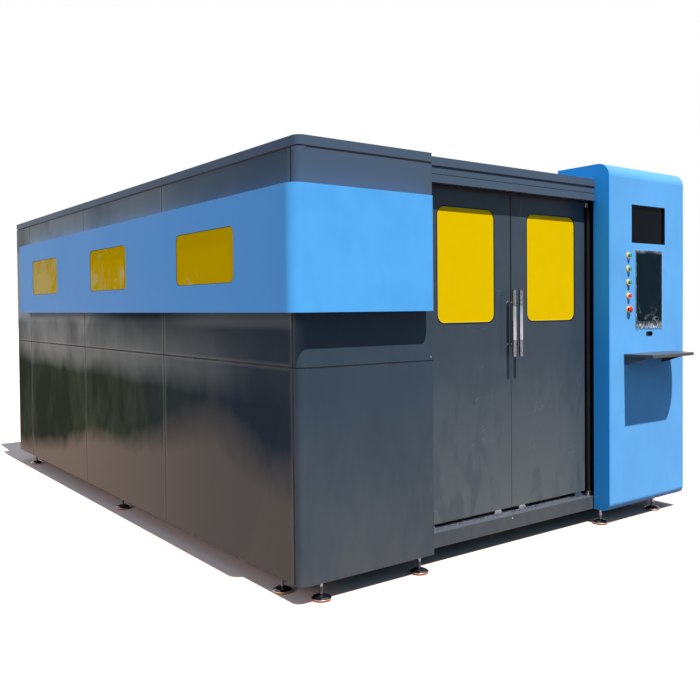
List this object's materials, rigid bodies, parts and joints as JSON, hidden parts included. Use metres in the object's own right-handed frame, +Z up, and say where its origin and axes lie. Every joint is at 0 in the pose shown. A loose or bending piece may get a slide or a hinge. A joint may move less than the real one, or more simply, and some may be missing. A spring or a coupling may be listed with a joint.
{
  "type": "fiber laser cutting machine",
  "caption": "Enclosed fiber laser cutting machine: dark sheet housing with a blue window band, sliding doors, a control cabinet, and a gantry over a slatted table.",
  "frame": {"origin": "on the floor, at the middle of the overall footprint", "axes": "+Y from the doors towards the rear, +X to the right for a person facing the doors, +Z up"},
  "size_m": [3.185, 5.162, 2.284],
  "materials": {
    "graphite_paint": "satin powder coat with faint cloudy reflections",
    "blue_paint": "satin powder coat",
    "frame_paint": "matt primer and paint",
    "bed_paint": "sprayed machine enamel",
    "yellow_acrylic": "tinted laser-safe acrylic sheet, glossy",
    "black_rubber": "matt",
    "galvanised_steel": "zinc plated",
    "pull_steel": "brushed ends and a polished middle",
    "roller_steel": "turned",
    "screen_glass": "black glass in a black case",
    "touch_glass": "black glass under crinkled clear film",
    "amber_plastic": "moulded",
    "bezel_metal": "bright ring",
    "green_plastic": "moulded lens",
    "red_plastic": "moulded",
    "black_plastic": "moulded",
    "shelf_paint": "satin powder coat",
    "stem_steel": "zinc plated thread and lock nut",
    "disc_steel": "dark domed disc with a bright rim",
    "orange_rubber": "moulded pad",
    "ground_steel": "ground rail",
    "slat_steel": "laser-cut edge",
    "beam_aluminium": "machined and anodised",
    "motor_black": "satin",
    "head_metal": "anodised",
    "duct_steel": "galvanised"
  },
  "bodies": {
    "machine": {"base_rails": "frame_paint", "frame_posts": "frame_paint", "roof_rails": "frame_paint", "left_panels": "graphite_paint", "right_panels": "graphite_paint", "rear_panels": "graphite_paint", "roof_panels": "graphite_paint", "roof_cap": "graphite_paint", "corner_lower_shell": "graphite_paint", "corner_upper_shell": "graphite_paint", "band_corner": "blue_paint", "band_side": "blue_paint", "side_windows": "yellow_acrylic", "header": "graphite_paint", "door_sill": "graphite_paint", "door_tracks": "galvanised_steel", "inner_panels": "frame_paint", "door_seals": "black_rubber", "cabinet_shell": "blue_paint", "monitor": "screen_glass", "touch_panel": "touch_glass", "port_socket": "black_plastic", "button_collars": "amber_plastic", "button_bezels": "bezel_metal", "keyboard_shelf": "shelf_paint", "shelf_brackets": "shelf_paint", "foot_stems": "stem_steel", "foot_discs": "disc_steel", "foot_pads": "orange_rubber", "bed_frame": "bed_paint", "bed_rails": "ground_steel", "table_frame": "bed_paint", "slats": "slat_steel", "fume_outlet": "duct_steel"},
    "left_door": {"left_door_leaf": "graphite_paint", "left_door_window": "yellow_acrylic", "left_door_pull": "pull_steel", "left_door_roller_forks": "galvanised_steel"},
    "right_door": {"right_door_leaf": "graphite_paint", "right_door_window": "yellow_acrylic", "right_door_pull": "pull_steel", "right_door_roller_forks": "galvanised_steel"},
    "left_outer_roller": {"left_door_outer_roller": "roller_steel"},
    "left_inner_roller": {"left_door_inner_roller": "roller_steel"},
    "right_inner_roller": {"right_door_inner_roller": "roller_steel"},
    "right_outer_roller": {"right_door_outer_roller": "roller_steel"},
    "gantry": {"gantry_beam": "beam_aluminium", "gantry_trucks": "ground_steel", "gantry_drives": "motor_black", "cross_rails": "ground_steel"},
    "carriage": {"carriage": "beam_aluminium"},
    "head": {"head_slide": "beam_aluminium", "cutting_head": "head_metal"},
    "upper_green_button": {"upper_green_button": "green_plastic"},
    "middle_green_button": {"middle_green_button": "green_plastic"},
    "lower_green_button": {"lower_green_button": "green_plastic"},
    "red_button": {"red_button": "red_plastic"},
    "stop_stem": {"stop_stem": "black_plastic"},
    "stop_head": {"stop_head": "red_plastic"}
  },
  "joints": [
    {"name": "left_door_slide", "type": "slide", "parent": "machine", "child": "left_door", "axis": [-1, 0, 0], "range_m": [0, 0.66]},
    {"name": "right_door_slide", "type": "slide", "parent": "machine", "child": "right_door", "axis": [1, 0, 0], "range_m": [0, 0.66]},
    {"name": "left_outer_roller_spin", "type": "hinge", "parent": "left_door", "child": "left_outer_roller", "pos_m": [-0.5935, -2.194, 0.1908], "axis": [0, -1, 0], "range_deg": [0, 2370]},
    {"name": "left_inner_roller_spin", "type": "hinge", "parent": "left_door", "child": "left_inner_roller", "pos_m": [-0.0635, -2.194, 0.1908], "axis": [0, -1, 0], "range_deg": [0, 2370]},
    {"name": "right_inner_roller_spin", "type": "hinge", "parent": "right_door", "child": "right_inner_roller", "pos_m": [0.1435, -2.194, 0.1908], "axis": [0, 1, 0], "range_deg": [0, 2370]},
    {"name": "right_outer_roller_spin", "type": "hinge", "parent": "right_door", "child": "right_outer_roller", "pos_m": [0.6735, -2.194, 0.1908], "axis": [0, 1, 0], "range_deg": [0, 2370]},
    {"name": "gantry_travel", "type": "slide", "parent": "machine", "child": "gantry", "axis": [0, 1, 0], "range_m": [-3.05, 0]},
    {"name": "carriage_travel", "type": "slide", "parent": "gantry", "child": "carriage", "axis": [1, 0, 0], "range_m": [-0.76, 0.76]},
    {"name": "head_lift", "type": "slide", "parent": "carriage", "child": "head", "axis": [0, 0, 1], "range_m": [-0.12, 0]},
    {"name": "upper_green_button_press", "type": "slide", "parent": "machine", "child": "upper_green_button", "axis": [0, 1, 0], "range_m": [0, 0.0045], "stiffness_N_per_m": 700, "springref_m": -0.002},
    {"name": "middle_green_button_press", "type": "slide", "parent": "machine", "child": "middle_green_button", "axis": [0, 1, 0], "range_m": [0, 0.0045], "stiffness_N_per_m": 700, "springref_m": -0.002},
    {"name": "lower_green_button_press", "type": "slide", "parent": "machine", "child": "lower_green_button", "axis": [0, 1, 0], "range_m": [0, 0.0045], "stiffness_N_per_m": 700, "springref_m": -0.002},
    {"name": "red_button_press", "type": "slide", "parent": "machine", "child": "red_button", "axis": [0, 1, 0], "range_m": [0, 0.0045], "stiffness_N_per_m": 700, "springref_m": -0.002},
    {"name": "stop_press", "type": "slide", "parent": "machine", "child": "stop_stem", "axis": [0, 1, 0], "range_m": [0, 0.0045]},
    {"name": "stop_twist", "type": "hinge", "parent": "stop_stem", "child": "stop_head", "pos_m": [0.9645, -2.393, 1.365], "axis": [0, 1, 0], "range_deg": [0, 35]}
  ],
  "couplings": [
    {"joint": "left_outer_roller_spin", "follows": "left_door_slide", "rad_per_m": 62.5},
    {"joint": "left_inner_roller_spin", "follows": "left_door_slide", "rad_per_m": 62.5},
    {"joint": "right_inner_roller_spin", "follows": "right_door_slide", "rad_per_m": 62.5},
    {"joint": "right_outer_roller_spin", "follows": "right_door_slide", "rad_per_m": 62.5}
  ]
}
